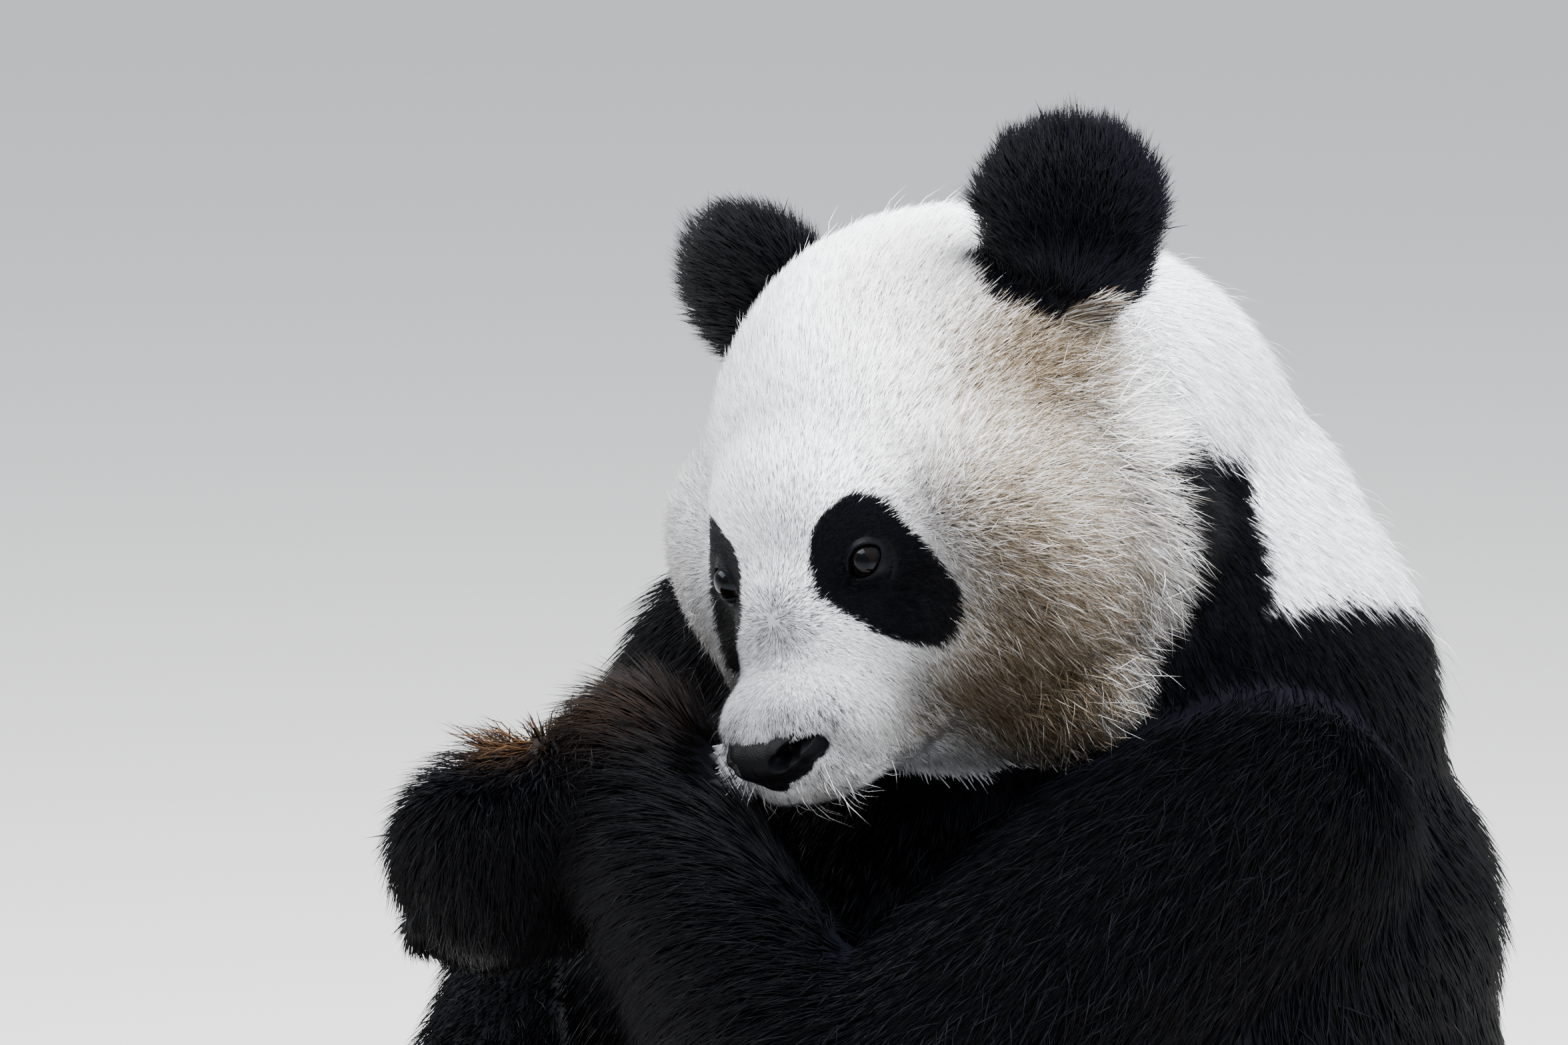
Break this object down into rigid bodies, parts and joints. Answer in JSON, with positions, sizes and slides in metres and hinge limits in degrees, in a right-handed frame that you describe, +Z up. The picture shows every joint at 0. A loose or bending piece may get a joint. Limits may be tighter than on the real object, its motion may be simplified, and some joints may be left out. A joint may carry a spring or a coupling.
{
  "type": "giant panda",
  "caption": "Life-size still model of a giant panda sitting upright, with one forearm raised across its chest and the paw drooping.",
  "frame": {"origin": "on the floor, below the middle of the whole panda's outline in plan", "axes": "+Z up; the panda faces -Y, its left side is +X, and the floor is z = 0"},
  "size_m": [0.7876, 1.0576, 0.9818],
  "materials": {
    "coat_white": "soft cream-white fur",
    "coat_black": "soft black fur with a slight sheen",
    "nose_pad": "bare black skin, slightly moist",
    "eye": "polished dark brown glass",
    "claw": "satin horn"
  },
  "bodies": {
    "root": {"head": "coat_white", "nose": "nose_pad", "ear_left": "coat_black", "ear_right": "coat_black", "eye_left": "eye", "eye_right": "eye", "neck": "coat_white", "chest": "coat_black", "belly": "coat_white", "tail": "coat_white", "upper_arm_left": "coat_black", "forearm_left": "coat_black", "hand_left": "coat_black", "thigh_left": "coat_black", "shin_left": "coat_black", "foot_left": "coat_black", "upper_arm_right": "coat_black", "forearm_right": "coat_black", "hand_right": "coat_black", "thigh_right": "coat_black", "shin_right": "coat_black", "foot_right": "coat_black", "claw_hand_left_1": "claw", "claw_hand_left_2": "claw", "claw_hand_left_3": "claw", "claw_hand_left_4": "claw", "claw_hand_left_5": "claw", "claw_hand_right_1": "claw", "claw_hand_right_2": "claw", "claw_hand_right_3": "claw", "claw_hand_right_4": "claw", "claw_hand_right_5": "claw", "claw_foot_left_1": "claw", "claw_foot_left_2": "claw", "claw_foot_left_3": "claw", "claw_foot_left_4": "claw", "claw_foot_left_5": "claw", "claw_foot_right_1": "claw", "claw_foot_right_2": "claw", "claw_foot_right_3": "claw", "claw_foot_right_4": "claw", "claw_foot_right_5": "claw"}
  },
  "joints": []
}
